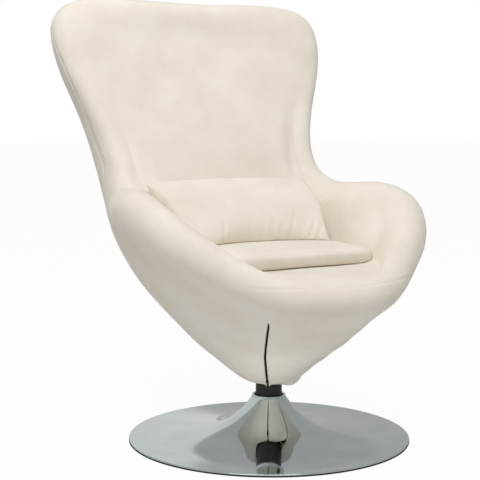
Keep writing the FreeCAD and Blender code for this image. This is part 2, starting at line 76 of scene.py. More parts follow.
wall_points = (
    (0.0, -0.190, 0.395), (0.062, -0.188, 0.395), (0.116, -0.172, 0.395), (0.157, -0.143, 0.395),
    (0.183, -0.088, 0.398), (0.192, -0.032, 0.404), (0.192, 0.022, 0.410), (0.181, 0.066, 0.418),
    (0.162, 0.104, 0.426), (0.142, 0.134, 0.442), (0.124, 0.160, 0.466), (0.108, 0.182, 0.494),
    (0.092, 0.196, 0.522), (0.072, 0.206, 0.546), (0.050, 0.212, 0.560), (0.025, 0.215, 0.566),
    (0.0, 0.216, 0.568))
seat_points = (
    (0.0, -0.165), (0.050, -0.162), (0.098, -0.149), (0.138, -0.122), (0.162, -0.076), (0.170, -0.028),
    (0.168, 0.020), (0.156, 0.058), (0.140, 0.084), (0.120, 0.104), (0.100, 0.118), (0.080, 0.127),
    (0.062, 0.133), (0.046, 0.137), (0.031, 0.140), (0.015, 0.142), (0.0, 0.142))
lip_points = (
    ((0.0, -0.275, 0.388), (0.0, -0.245, 0.392)),
    ((0.080, -0.268, 0.388), (0.077, -0.238, 0.392)),
    ((0.148, -0.238, 0.394), (0.140, -0.214, 0.394)))
station_angles = (0, 16, 32, 48, 64, 81, 97, 111, 122, 131, 138, 145, 151, 157, 163, 171, 180)
ring_tables = (
    ((0, 32, 64, 90, 122, 150, 180),
     (0.196, 0.187, 0.200, 0.215, 0.227, 0.252, 0.268), (0.222, 0.225, 0.255, 0.262, 0.285, 0.320, 0.335)),
    ((0, 64, 122, 180), (0.112, 0.116, 0.128, 0.146), (0.174, 0.178, 0.188, 0.205)),
    ((0, 180), (0.075, 0.075), (0.141, 0.141)),
    ((0, 180), (0.050, 0.050), (0.126, 0.126)),
    ((0, 180), (0.033, 0.033), (0.124, 0.124)))
seat_level = 0.395
seat_shares = (0.8, 0.5, 0.2)
stations = len(station_angles)
turn = 2 * (stations - 1)

# The roll round the rim, in shares of its depth; its outer side faces away from the body's middle
body_middle = (0, 0, 0.45)
roll_out_share = 0.95
roll_under_share = 0.8
roll_side_share = 0.35
roll_top_share = 0.85
inner_roll_shares = (0.5, 0.35)

# The wings grow from one station on, and the hollow inside them is filled a little, in metres
wing_from = 6
wing_over = 3.0
wing_rise_share = 0.12
hollow_fill = 0.004
hollow_station = 11.3
hollow_width = 2.4

# Places along the rows of the net
hem_place = 0.0
seam_place = 5.0
seat_place = 15.0


def mirrored(row):
    return row * np.array((-1.0, 1.0, 1.0))


def unit(v):
    return v / np.linalg.norm(v, axis=-1, keepdims=True)


def ring_row(table):
    angle = np.radians(station_angles)
    r = np.interp(station_angles, table[0], table[1])
    z = np.interp(station_angles, table[0], table[2])
    return np.stack((r * np.sin(angle), -r * np.cos(angle), z), axis=-1)


# Rows of the net from the hub under the egg, over the rim, to the middle of the seat
def net_rows():
    rim, outer, inner = np.array(rim_points), np.array(outer_points), np.array(inner_points)
    h = np.array(roll_depths)[:, None]
    longer = np.concatenate((mirrored(rim[1:2]), rim, mirrored(rim[-2:-1])))
    along = unit(longer[2:] - longer[:-2])
    down = outer - rim
    down = unit(down - along * np.sum(along * down, axis=1, keepdims=True))
    out = np.cross(along, down)
    out *= np.sign(np.sum(out * (rim - np.array(body_middle)), axis=1, keepdims=True))
    row1 = rim + out * h * roll_out_share + down * h * roll_under_share
    row2 = rim + out * h * roll_out_share - down * h * roll_side_share
    row3 = rim - down * h * roll_top_share
    wing = np.clip((np.arange(stations) - wing_from) / wing_over, 0, 1)[:, None]
    inner[:, 1] -= hollow_fill * np.exp(-((np.arange(stations) - hollow_station) / hollow_width) ** 2)
    row4 = rim - out * h - down * h * (inner_roll_shares[0] + inner_roll_shares[1] * wing)
    row5 = (row4 + inner) / 2 - down * h * wing_rise_share * wing
    for k, (fourth, fifth) in enumerate(lip_points):
        row4[k] = fourth
        row5[k] = fifth
    seat = np.array([(x, y, seat_level) for x, y in seat_points])
    rings = [ring_row(table) for table in ring_tables]
    rows = rings[::-1] + [np.array(belly_points), outer, row1, row2, row3, row4, row5, inner,
                          np.array(wall_points), seat]
    rows += [seat * np.array((share, share, 1.0)) for share in seat_shares]
    half = np.array(rows)
    return np.concatenate((half, mirrored(half[:, -2:0:-1])), axis=1)


# The net, and the knots of the spline along it, which is clamped at both ends
net = net_rows()
knots = np.concatenate((np.zeros(3), np.arange(len(net) - 2), np.full(3, len(net) - 3)))


# Point of the seat's skin at any station and place, by cubic spline weights
def skin(station, place):
    station, place = np.broadcast_arrays(np.asarray(station, float), np.asarray(place, float))
    k = np.clip(np.floor(place).astype(int), 0, len(net) - 4) + 3
    weights = [np.ones_like(place)]
    for j in range(1, 4):
        left = [place - knots[k + 1 - j + r] for r in range(j)]
        right = [knots[k + 1 + r] - place for r in range(j)]
        saved = np.zeros_like(place)
        made = []
        for r in range(j):
            part = weights[r] / (right[r] + left[r])
            made.append(saved + right[r] * part)
            saved = left[r] * part
        weights = made + [saved]
    i = np.floor(station).astype(int)
    t = station - i
    across = ((1 - t) ** 3 / 6, (3 * t ** 3 - 6 * t ** 2 + 4) / 6,
              (-3 * t ** 3 + 3 * t ** 2 + 3 * t + 1) / 6, t ** 3 / 6)
    point = 0
    for a in range(4):
        for b in range(4):
            point = point + (weights[a] * across[b])[..., None] * net[k - 3 + a, (i - 1 + b) % turn]
    return point


skin_step = 0.01


def skin_across(station, place):
    return (skin(station + skin_step, place) - skin(station - skin_step, place)) / (2 * skin_step)


def skin_along(station, place):
    low = np.clip(place - skin_step, 0, seat_place)
    high = np.clip(place + skin_step, 0, seat_place)
    return (skin(station, high) - skin(station, low)) / (high - low)[..., None]


def skin_normal(station, place):
    return unit(np.cross(skin_across(station, place), skin_along(station, place)))


# Soft unevenness of upholstery over foam: a sum of slow waves in space, the same on every run
wave_count = 10
wave_spread = (0.7, 1.6)


def soft_waves(points, size, seed):
    draw = np.random.RandomState(seed)
    total = 0
    for n in range(wave_count):
        way = unit(draw.normal(size=3))
        pitch = size * draw.uniform(*wave_spread)
        total = total + np.sin(points @ way * 2 * math.pi / pitch + draw.uniform(0, 2 * math.pi))
    return total / math.sqrt(wave_count)


def make_object(name, vertices, faces):
    mesh = bpy.data.meshes.new(name)
    mesh.from_pydata([tuple(v) for v in np.reshape(vertices, (-1, 3))], [], faces)
    mesh.validate()
    for polygon in mesh.polygons:
        polygon.use_smooth = True
    made = bpy.data.objects.new(name, mesh)
    bpy.context.scene.collection.objects.link(made)
    return made


# Faces of a grid whose columns go all the way round; open_after holds the columns with a slit after them
def grid_faces(rows, columns, closed=True, open_after=()):
    faces = []
    for i in range(rows - 1):
        for j in range(columns if closed else columns - 1):
            if j in open_after:
                continue
            a = i * columns + j
            b = i * columns + (j + 1) % columns
            faces.append((a, b, b + columns, a + columns))
    return faces


# The mesh that an object shows with its modifiers on, put in place of its own, with no modifier left
def applied(piece):
    graph = bpy.context.evaluated_depsgraph_get()
    shape = bpy.data.meshes.new_from_object(piece.evaluated_get(graph))
    piece.modifiers.clear()
    piece.data = shape
    for polygon in shape.polygons:
        polygon.use_smooth = True
    return piece


# Apply a modifier of the given kind and settings
def reshaped(piece, kind, **settings):
    modifier = piece.modifiers.new(kind.lower(), kind)
    for setting, value in settings.items():
        setattr(modifier, setting, value)
    return applied(piece)


def corners_of(piece):
    return np.array([v.co[:] for v in piece.data.vertices])


def moved_to(piece, points):
    piece.data.vertices.foreach_set("co", np.ravel(points))
    piece.data.update()
    return piece


def surface_tree(piece):
    mesh = piece.data
    return BVHTree.FromPolygons([v.co[:] for v in mesh.vertices], [p.vertices[:] for p in mesh.polygons])


# Length of a line from its start to each of its points
def lengths_along(line):
    return np.concatenate(([0], np.cumsum(np.linalg.norm(np.diff(line, axis=0), axis=1))))


# Values that are known at some lengths of a line, at other lengths of it
def values_at(wanted, lengths, values):
    return np.stack([np.interp(wanted, lengths, column) for column in values.T], axis=-1)


# Outer cover, from the hem at the neck up to its seam, with two zip slits at the front corners
zip_top_place = 4.67
zip_angles = ((0.0, 32.6), (1.6, 33.2), (2.6, 33.0), (3.5, 31.4), (4.42, 30.2), (5.0, 30.0))
zip_search = (0.5, 4.0)
zip_search_steps = 30
front_columns = 26
side_columns = 190
cover_rows = 130

# Columns beside a slit: how far they lie from its line, and how high; the nearest close in at the zip's top
slit_offsets = (-0.0120, -0.0090, -0.0066, -0.0050, -0.0040, -0.0033, -0.0027, -0.0023, -0.0020)
slit_heights = (0.0, 0.0002, 0.0005, 0.0009, 0.0012, 0.0011, 0.0006, -0.0008, -0.0040)
slit_moving = 0.0030
closed_slit = 0.00002
slit_fade_reach = 0.30
slit_fade_power = 0.4

# Rows beside the seam: how far they lie from it, and how high; then the seam's climbs up the wings, each
# with its rise in places, its first station and its length in stations
seam_offsets = (0.0110, 0.0080, 0.0058, 0.0042, 0.0030, 0.0021, 0.0014, 0.0009, 0.0005, 0.0002, 0.0)
seam_heights = (0.0, 0.0, 0.0001, 0.0001, -0.0001, -0.0005, -0.0010, -0.0016, -0.0024, -0.0034, -0.0044)
seam_margin = 0.20
seam_climbs = ((0.9, 8.0, 1.5), (1.0, 10.3, 2.0))
seam_speed_step = 0.02
seam_shown_from = 8.4
seam_shown_over = 1.4


def eased(x):
    x = np.clip(x, 0, 1)
    return x * x * (3 - 2 * x)


def between(x, limits):
    first, full, last, end = limits
    return eased((x - first) / (full - first)) * eased((end - x) / (end - last))


def half_station(station):
    around = np.mod(station, turn)
    return np.minimum(around, turn - around)


# Place of the seam between the outer and the inner cover: under the arms, and up the edge of the wings
def seam_line(station):
    k = half_station(station)
    line = seam_place
    for climb, start, length in seam_climbs:
        line = line + climb * eased((k - start) / length)
    return line


# How far the seam shows: on the wings only, since it can't be seen under the arms
def seam_depth(station):
    return eased((half_station(station) - seam_shown_from) / seam_shown_over)


# Station at which the skin crosses the zip's upright plane
def zip_station(place):
    wanted = np.radians(np.interp(place, [p for p, a in zip_angles], [a for p, a in zip_angles]))
    low, high = (np.full_like(place, end) for end in zip_search)
    for n in range(zip_search_steps):
        middle = (low + high) / 2
        point = skin(middle, place)
        less = np.arctan2(point[..., 0], -point[..., 1]) < wanted
        low = np.where(less, middle, low)
        high = np.where(less, high, middle)
    return (low + high) / 2


# Stations of the cover's columns in each row, the height of the lips, and the columns before the slits
def outer_grid(places):
    centre = zip_station(places)
    speed = np.linalg.norm(skin_across(centre, places), axis=-1)
    fade = np.clip((zip_top_place - places) / slit_fade_reach, 0, 1) ** slit_fade_power
    offsets = np.concatenate((slit_offsets, -np.array(slit_offsets[::-1])))
    heights = np.concatenate((slit_heights, slit_heights[::-1]))
    moving = np.abs(offsets) < slit_moving
    slit = centre[:, None] + offsets * np.where(moving, fade[:, None], 1) / speed[:, None]
    lips = heights * fade[:, None]
    front = [np.linspace(0, row[0], front_columns, endpoint=False) for row in slit]
    side = [np.linspace(row[-1], stations - 1, side_columns + 1)[1:] for row in slit]
    half = np.concatenate((front, slit, side), axis=1)
    lift = np.concatenate((np.zeros_like(front), lips, np.zeros_like(side)), axis=1)
    whole = np.concatenate((half, turn - half[:, -2:0:-1]), axis=1)
    lift = np.concatenate((lift, lift[:, -2:0:-1]), axis=1)
    right = front_columns + len(slit_offsets) - 1
    return whole, lift, (right, whole.shape[1] - right - 1)


# Small pulls of the fabric: round the hem where it is drawn in, and beside the zips
gather_height = 0.0003
gather_count = 31
gather_drift = 2
gather_drift_count = 5
gather_reach = 0.7
ripple_height = 0.0004
ripple_angle = 32.5
ripple_width = 7.0
ripple_pace = 9.0
ripple_slant = 0.35
ripple_over = 0.3


def pulls(place, points):
    angle = np.arctan2(points[..., 0], -points[..., 1])
    drift = gather_drift * np.sin(angle * gather_drift_count)
    gathers = np.sin(angle * gather_count + drift) * np.exp(-(place / gather_reach) ** 2)
    side = np.degrees(np.abs(angle)) - ripple_angle
    beside = np.exp(-(side / ripple_width) ** 2) * np.clip(zip_top_place + ripple_over - place, 0, 1)
    ripples = np.sin(place * ripple_pace + side * ripple_slant) * beside
    return gather_height * gathers + ripple_height * ripples


# Height, size and random seed of the waves in the fabric's face
fabric_waves = ((0.0011, 0.23, 3), (0.00035, 0.07, 8))


def fabric_lift(points, height):
    for rise, size, seed in fabric_waves:
        height = height + rise * soft_waves(points, size, seed)
    return height


# Places that run beside the seam, on one side of it, and end on it
def seam_rows(station, side):
    line = seam_line(station)
    speed = np.linalg.norm(skin_along(station, line + side * seam_speed_step), axis=-1)
    return np.array([line + side * offset / speed for offset in seam_offsets])


# At the foot of each zip the hem turns out, more on the sitter's left, and hangs a little lower:
# the side, how far out, how far down, the angle round the hem and the reach up the cover
hem_corners = ((-1, 0.0075, 0.0055, 7.0, 0.55), (1, 0.025, 0.001, 15.0, 1.2))
hem_corner_power = 1.3


def hem_lips(points, place):
    angle = np.degrees(np.arctan2(points[..., 0], -points[..., 1]))
    outward = unit(points * np.array((1.0, 1.0, 0.0)))
    moved = points.copy()
    for side, out, drop, width, reach in hem_corners:
        round_hem = np.exp(-((angle - side * zip_angles[0][1]) / width) ** 2)
        share = round_hem * np.clip(1 - place / reach, 0, 1) ** hem_corner_power
        moved += (outward * out - np.array((0.0, 0.0, drop))) * share[..., None]
    return moved


def outer_cover():
    places = np.linspace(hem_place, seam_place, cover_rows)
    station, height, slits = outer_grid(places)
    place = places[:, None] * seam_line(station) / seam_place
    keep = places < seam_place - seam_margin
    top = station[-1]
    near = seam_rows(top, -1)
    station = np.concatenate((station[keep], np.repeat(top[None, :], len(near), axis=0)))
    place = np.concatenate((place[keep], near))
    height = np.concatenate((height[keep], np.outer(seam_heights, seam_depth(top))))
    points = skin(station, place)
    lift = fabric_lift(points, height) + pulls(place, points)
    points = points + skin_normal(station, place) * lift[..., None]
    rows, columns = station.shape
    faces = grid_faces(rows, columns, open_after=slits)
    cover = make_object("outer_cover", hem_lips(points, place), faces)
    return reshaped(cover, "WELD", merge_threshold=closed_slit)


# Faint seam across the front, just under the lip of the seat: its place, and how far it dips
front_seam_place = 7.35
front_seam_fall = 0.16
front_seam_reach = 2.7
front_seam_dip = 0.0009
front_seam_width = 0.0016
front_seam_fade = 0.5
front_swell_share = 0.3
front_swell_away = 0.006
front_swell_width = 0.004


def front_seam(station, place):
    near = half_station(station)
    line = front_seam_place - front_seam_fall * near ** 2
    speed = np.linalg.norm(skin_along(station, place), axis=-1)
    away = (place - line) * speed
    shown = eased((front_seam_reach - near) / front_seam_fade)
    dip = np.exp(-(away / front_seam_width) ** 2)
    swell = np.exp(-((np.abs(away) - front_swell_away) / front_swell_width) ** 2)
    return shown * (front_swell_share * front_seam_dip * swell - front_seam_dip * dip)


# Round off the hollow where each wing meets the back, by averaging the grid's points with their neighbours
wing_softening = 170
wing_soft_stations = (7.0, 9.0, 14.5, 16.0)
wing_soft_places = (8.0, 9.2, 12.0, 13.4)


def softened(points, station, place):
    share = between(half_station(station), wing_soft_stations) * between(place, wing_soft_places)
    soft = points.copy()
    for n in range(wing_softening):
        soft[1:-1] = (soft[:-2] + 2 * soft[1:-1] + soft[2:]) / 4
        soft = (np.roll(soft, 1, axis=1) + 2 * soft + np.roll(soft, -1, axis=1)) / 4
    return points + (soft - points) * share[..., None]


# Inner cover, one piece from the seam over the rim roll and down the back and arms to the seat
upper_share = 0.62
upper_rows = 140
lower_rows = 56
same_station = 1e-6


def inner_cover():
    top = outer_grid(np.array([hem_place, seam_place]))[0][-1]
    top = top[np.concatenate(([True], np.diff(top) > same_station))]
    near = seam_rows(top, 1)[::-1]
    upper = np.linspace(0, upper_share, upper_rows)
    share = np.concatenate((upper, np.linspace(upper_share, 1, lower_rows)[1:]))
    first = seam_line(top) + seam_margin
    place = np.concatenate((near, first + (seat_place - first) * share[:, None]))
    station = np.repeat(top[None, :], len(place), axis=0)
    height = np.zeros_like(place)
    height[:len(near)] = np.outer(seam_heights[::-1], seam_depth(top))
    height = height + front_seam(station, place)
    points = skin(station, place)
    points = points + skin_normal(station, place) * fabric_lift(points, height)[..., None]
    points = softened(points, station, place)
    rows, columns = place.shape
    faces = grid_faces(rows, columns)
    faces.append(tuple(range((rows - 1) * columns, rows * columns)))
    return make_object("inner_cover", points, faces)


# Zip teeth: two rows of small rounded teeth along the tape, lying where the tape's face is
tooth_pitch = 0.0021
tooth_radius = 0.00062
tooth_reach = (-0.0015, 0.0004)
tooth_sides = 8
teeth_ends = (0.10, 4.63)
teeth_samples = 900


def zip_teeth(name, tape, side):
    place = np.linspace(*teeth_ends, teeth_samples)
    station = zip_station(place)
    face = skin(station, place)
    lengths = lengths_along(face)
    even = np.arange(0, lengths[-1], tooth_pitch / 2)
    point = values_at(even, lengths, face)
    normal = unit(values_at(even, lengths, skin_normal(station, place)))
    along = unit(np.gradient(point, axis=0))
    across = np.cross(normal, along)
    tree = surface_tree(tape)
    ring = np.linspace(0, 2 * math.pi, tooth_sides, endpoint=False)
    mirror = np.array((side, 1.0, 1.0))
    points, faces = [], []
    for k in range(len(point)):
        nearest = tree.find_nearest(Vector(point[k] * mirror))[0]
        centre = np.array(nearest) * mirror + normal[k] * tooth_radius / 2
        way = 1 if k % 2 else -1
        start = len(points)
        for reach in tooth_reach:
            for angle in ring:
                points.append(centre + across[k] * reach * way
                              + tooth_radius * (along[k] * math.cos(angle) + normal[k] * math.sin(angle)))
        first = list(range(start, start + tooth_sides))
        last = [n + tooth_sides for n in first]
        for n in range(tooth_sides):
            faces.append((first[n], first[(n + 1) % tooth_sides], last[(n + 1) % tooth_sides], last[n]))
        faces += [tuple(reversed(first)), tuple(last)]
    return make_object(name, np.array(points) * mirror, faces)


# Materials
noise_roughness = 0.6
speckle_roughness_share = 0.15
speckle_strength = 0.2


def material(name, roughness, metallic=0.0, color=None):
    made = bpy.data.materials.new(name)
    made.use_nodes = True
    shader = made.node_tree.nodes["Principled BSDF"]
    shader.inputs["Roughness"].default_value = roughness
    shader.inputs["Metallic"].default_value = metallic
    if color:
        shader.inputs["Base Color"].default_value = (*color, 1.0)
    return made, made.node_tree, shader


def srgb(r, g, b):
    return tuple((c / 255 / 12.92) if c / 255 <= 0.04045 else ((c / 255 + 0.055) / 1.055) ** 2.4
                 for c in (r, g, b))


def noise_node(tree, scale, detail, stretch=(1, 1, 1)):
    place = tree.nodes.new("ShaderNodeTexCoord")
    mapping = tree.nodes.new("ShaderNodeMapping")
    mapping.inputs["Scale"].default_value = stretch
    made = tree.nodes.new("ShaderNodeTexNoise")
    made.inputs["Scale"].default_value = scale
    made.inputs["Detail"].default_value = detail
    made.inputs["Roughness"].default_value = noise_roughness
    tree.links.new(place.outputs["Object"], mapping.inputs["Vector"])
    tree.links.new(mapping.outputs["Vector"], made.inputs["Vector"])
    return made.outputs["Fac"]


# Colours at given positions along a source that runs from 0 to 1
def ramp(tree, source, stops):
    made = tree.nodes.new("ShaderNodeValToRGB")
    elements = made.color_ramp.elements
    while len(elements) < len(stops):
        elements.new(0.5)
    for element, (position, color) in zip(elements, stops):
        element.position = position
        element.color = (*color, 1.0)
    tree.links.new(source, made.inputs["Fac"])
    return made.outputs["Color"]


# A colour from another node, mixed with a fixed one
def mixed(tree, factor, base, other):
    made = tree.nodes.new("ShaderNodeMix")
    made.data_type = "RGBA"
    first, second = [socket for socket in made.inputs if socket.type == "RGBA"]
    tree.links.new(factor, made.inputs["Factor"])
    tree.links.new(base, first)
    second.default_value = (*other, 1.0)
    return [socket for socket in made.outputs if socket.type == "RGBA"][0]


# Layers of unevenness, each a source with its strength and its distance in metres
def bumped(tree, shader, layers):
    normal = None
    for source, strength, distance in layers:
        made = tree.nodes.new("ShaderNodeBump")
        made.inputs["Strength"].default_value = strength
        made.inputs["Distance"].default_value = distance
        tree.links.new(source, made.inputs["Height"])
        if normal:
            tree.links.new(normal, made.inputs["Normal"])
        normal = made.outputs["Normal"]
    tree.links.new(normal, shader.inputs["Normal"])


def scaled(tree, source, low, high):
    made = tree.nodes.new("ShaderNodeMapRange")
    made.inputs["To Min"].default_value = low
    made.inputs["To Max"].default_value = high
    tree.links.new(source, made.inputs["Value"])
    return made.outputs["Result"]


# Cream velvet: cloudy, with crushed patches, a fine pile, and fine flecks of painted shade in the velvet's
# colour in shade
def velvet():
    made, tree, shader = material("cream_velvet", roughness=0.9)
    cloud = noise_node(tree, scale=9.0, detail=5.0)
    crush = noise_node(tree, scale=34.0, detail=4.0)
    pile_and_shade = noise_node(tree, scale=900.0, detail=3.0, stretch=(1, 1, 0.45))
    dark, plain, light = srgb(229, 221, 207), srgb(235, 228, 215), srgb(240, 234, 223)
    base = ramp(tree, cloud, ((0.30, dark), (0.50, plain), (0.70, light)))
    base = mixed(tree, scaled(tree, crush, 0.0, 0.10), base, srgb(212, 200, 184))
    # Painted shade: the pile's noise mixes in fine flecks of the velvet's colour in shade, srgb(198, 187,
    # 170)
    base = mixed(tree, scaled(tree, pile_and_shade, 0.0, 0.10), base, srgb(198, 187, 170))
    tree.links.new(base, shader.inputs["Base Color"])
    tree.links.new(scaled(tree, crush, 0.80, 0.98), shader.inputs["Roughness"])
    shader.inputs["Sheen Weight"].default_value = 0.35
    shader.inputs["Sheen Roughness"].default_value = 0.45
    shader.inputs["Sheen Tint"].default_value = (*srgb(250, 246, 238), 1.0)
    shader.inputs["Specular IOR Level"].default_value = 0.2
    bumped(tree, shader, ((crush, 0.12, 0.004), (pile_and_shade, 0.25, 0.0004)))
    return made


# Chrome, with the faintest smear
def chrome():
    made, tree, shader = material("polished_chrome", roughness=0.05, metallic=1.0)
    smear = noise_node(tree, scale=14.0, detail=5.0)
    tree.links.new(scaled(tree, smear, 0.02, 0.05), shader.inputs["Roughness"])
    base = ramp(tree, smear, ((0.3, srgb(203, 211, 212)), (0.7, srgb(216, 223, 224))))
    tree.links.new(base, shader.inputs["Base Color"])
    return made


# A plain material with a fine grain, whose bump is a height in metres
def speckled(name, dark, light, roughness, scale, bump, metallic=0.0, stretch=(1, 1, 1)):
    made, tree, shader = material(name, roughness, metallic=metallic)
    grain = noise_node(tree, scale, detail=5.0, stretch=stretch)
    base = ramp(tree, grain, ((0.3, srgb(*dark)), (0.7, srgb(*light))))
    tree.links.new(base, shader.inputs["Base Color"])
    smoothest = roughness * (1 - speckle_roughness_share)
    roughest = min(roughness * (1 + speckle_roughness_share), 1.0)
    tree.links.new(scaled(tree, grain, smoothest, roughest), shader.inputs["Roughness"])
    bumped(tree, shader, ((grain, speckle_strength, bump),))
    return made


materials = {
    "upholstery": velvet(),
    "chrome": chrome(),
    "black_rubber": speckled("black_rubber", (28, 28, 28), (40, 40, 40), roughness=0.75, scale=700,
                             bump=0.0002),
    "black_sleeve": speckled("satin_black_plastic", (27, 27, 27), (34, 33, 33), roughness=0.5, scale=900,
                             bump=0.0001),
    "black_steel": speckled("black_painted_steel", (38, 38, 39), (50, 50, 51), roughness=0.45, scale=300,
                            bump=0.0002),
    "zinc_steel": speckled("zinc_plated_steel", (168, 170, 172), (196, 198, 200), roughness=0.34, scale=240,
                           bump=0.0001, metallic=1.0, stretch=(1, 1, 6)),
    "nylon": speckled("natural_nylon", (216, 212, 200), (228, 225, 214), roughness=0.5, scale=120,
                      bump=0.0001),
    "plywood": speckled("birch_plywood", (190, 158, 114), (221, 194, 152), roughness=0.7, scale=60,
                        bump=0.0003, stretch=(1, 9, 30)),
    "moulded_shell": speckled("moulded_laminate", (58, 58, 60), (86, 86, 88), roughness=0.8, scale=180,
                              bump=0.0006),
    "zip_tape": speckled("black_zip_tape", (6, 6, 6), (14, 13, 12), roughness=0.9, scale=1500, bump=0.0003),
    "zip_metal": speckled("black_enamel", (8, 8, 8), (14, 14, 14), roughness=0.6, scale=400, bump=0.0001),
}

slots = {part["node"]: part["material_slot"] for part in frame["record"]["subparts"]}
for node, slot_name in slots.items():
    thing = frame["nodes"][node]
    thing.data.materials.clear()
    thing.data.materials.append(materials[slot_name])


# Give a piece its material and slot, the nodes that it stands for and the body that it rides on
def dressed(piece, slot_name, body, *nodes):
    piece.data.materials.clear()
    piece.data.materials.append(materials[slot_name])
    if nodes:
        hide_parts(*nodes)
    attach(piece, body)
    return piece


# Cushions: closed forms blown up a little by a cloth simulation, then laid clear of what they touch
pillow_columns = 85
pillow_rows = 39
pillow_half_width = 0.205
pillow_half_height = 0.104
pillow_half_thickness = 0.047
pillow_offset = -0.018
pillow_foot_taper = 0.14
pillow_bow = 0.030
pillow_lean = math.radians(50.0)
pillow_centre = np.array((0.0, 0.1085, 0.4940))
pillow_flat_share = 1.04
pillow_flat_height_share = 1.16
pillow_flat_swell = 0.10
pillow_pressure = 2.2
pillow_frames = 26
pillow_smoothing = 45
pillow_last_smoothing = 6
pillow_waist = 0.05
panel_gap = 0.003

pad_lift = 0.0008
pad_thickness = 0.031
pad_half_width = 0.189
pad_front = 0.167
pad_back = 0.108
pad_taper = 0.30
pad_corner = 0.28
pad_side_power = 0.55
pad_edge_power = 0.8
pad_flat_shares = (0.25, 0.6, 0.85)
pad_segments = 96
pad_edge_rings = 13
pad_crown = 0.004
pad_voxel = 0.005
pad_pressure = 4.0
pad_frames = 20
pad_most_move = 0.004

cushion_gap = 0.0009
clear_rounds = 3
clear_reach = 0.05
tiny = 1e-9


# Blow up a closed form, with no point moved further than most
def inflated(piece, pressure, moments, most=None):
    before = corners_of(piece)
    cloth = piece.modifiers.new("filling", "CLOTH")
    cloth.settings.quality = 6
    cloth.settings.mass = 0.2
    cloth.settings.tension_stiffness = 25
    cloth.settings.compression_stiffness = 25
    cloth.settings.shear_stiffness = 12
    cloth.settings.bending_stiffness = 0.3
    cloth.settings.use_pressure = True
    cloth.settings.uniform_pressure_force = pressure
    cloth.settings.effector_weights.gravity = 0
    cloth.point_cache.frame_start = 1
    cloth.point_cache.frame_end = moments
    for moment in range(1, moments + 1):
        bpy.context.scene.frame_set(moment)
    applied(piece)
    bpy.context.scene.frame_set(1)
    if most:
        move = corners_of(piece) - before
        length = np.linalg.norm(move, axis=1, keepdims=True)
        moved_to(piece, before + move * np.minimum(1, most / np.maximum(length, tiny)))
    return piece


# Push a cushion's points out of the surfaces that it rests on, a small gap clear of them
def kept_clear(piece, surfaces):
    trees = [surface_tree(surface) for surface in surfaces]
    points = corners_of(piece)
    for attempt in range(clear_rounds):
        for tree in trees:
            for k, point in enumerate(points):
                place, normal, face, distance = tree.find_nearest(Vector(point))
                depth = cushion_gap - (Vector(point) - place).dot(normal)
                if depth > 0 and distance < clear_reach:
                    points[k] = np.array(place + normal * cushion_gap)
    return moved_to(piece, points)


# Two flat panels that share their border, set a hair apart so that the filling can part them
def sewn_bag(name, half_width, half_height):
    x, h = np.meshgrid(np.linspace(-1, 1, pillow_columns), np.linspace(-1, 1, pillow_rows))
    part = panel_gap * (1 - x ** 4) * (1 - h ** 4)
    fuller = 1 + pillow_flat_swell * (1 - x ** 2)
    front = np.stack((x * half_width, -part, h * half_height * fuller), axis=-1).reshape(-1, 3)
    back = front * np.array((1.0, -1.0, 1.0))
    size = pillow_rows * pillow_columns
    inside = ((np.abs(x) < 1) & (np.abs(h) < 1)).reshape(-1)
    number = np.arange(size)
    other = np.where(inside, size + np.cumsum(inside) - 1, number)
    faces = grid_faces(pillow_rows, pillow_columns, closed=False)
    faces += [tuple(int(other[k]) for k in reversed(f)) for f in faces]
    return make_object(name, np.concatenate((front, back[inside])), faces)


# Stretch the bag until its sewn border is a straight-sided outline, a little drawn in between the corners
def squared(bag):
    points = corners_of(bag)
    panel = np.arange(pillow_rows * pillow_columns).reshape(pillow_rows, pillow_columns)
    for across, along, half, ends in ((0, 2, pillow_half_height, (panel[0], panel[-1])),
                                      (2, 0, pillow_half_width, (panel[:, 0], panel[:, -1]))):
        reach = np.max(np.abs(points[:, across]))
        for side, border in zip((-1, 1), ends):
            edge = points[border]
            order = np.argsort(edge[:, across])
            found = np.abs(np.interp(points[:, across], edge[order, across], edge[order, along]))
            drawn_in = 1 - pillow_waist * (1 - (points[:, across] / reach) ** 2)
            chosen = points[:, along] * side > 0
            share = np.minimum(np.abs(points[:, along]) / found, 1)
            points[chosen, along] = (side * half * drawn_in * share)[chosen]
    return moved_to(bag, points)


# Creases where the pillow's lower edge is pressed on the pad: place along it, width, depth and reach
pillow_creases = ((-0.128, 0.008, 0.0019, 0.046), (-0.098, 0.006, 0.0029, 0.070),
                  (-0.060, 0.009, 0.0013, 0.038), (-0.022, 0.007, 0.0014, 0.058),
                  (0.014, 0.006, 0.0027, 0.034), (0.040, 0.008, 0.0017, 0.066),
                  (0.066, 0.007, 0.0026, 0.044), (0.094, 0.006, 0.0029, 0.074),
                  (0.122, 0.007, 0.0024, 0.040), (0.150, 0.006, 0.0032, 0.060),
                  (0.170, 0.007, 0.0036, 0.048))
crease_lean = 0.35
crease_front_share = 0.2
crease_swell_share = 0.7
crease_swell_away = 1.6
crease_swell_width = 0.9


# Press the creases into the front face of the pillow, which lies at its origin here
def creased(local):
    above_foot = local[:, 2] + pillow_half_height
    facing = np.clip(local[:, 1] / pillow_half_thickness + crease_front_share, 0, 1)
    for place, width, depth, reach in pillow_creases:
        low = np.clip(1 - above_foot / reach, 0, 1)
        away = (local[:, 0] - place - crease_lean * above_foot) / width
        swell = np.exp(-((np.abs(away) - crease_swell_away) / crease_swell_width) ** 2)
        local[:, 1] += depth * low * facing * (crease_swell_share * swell - np.exp(-away ** 2))
    return local


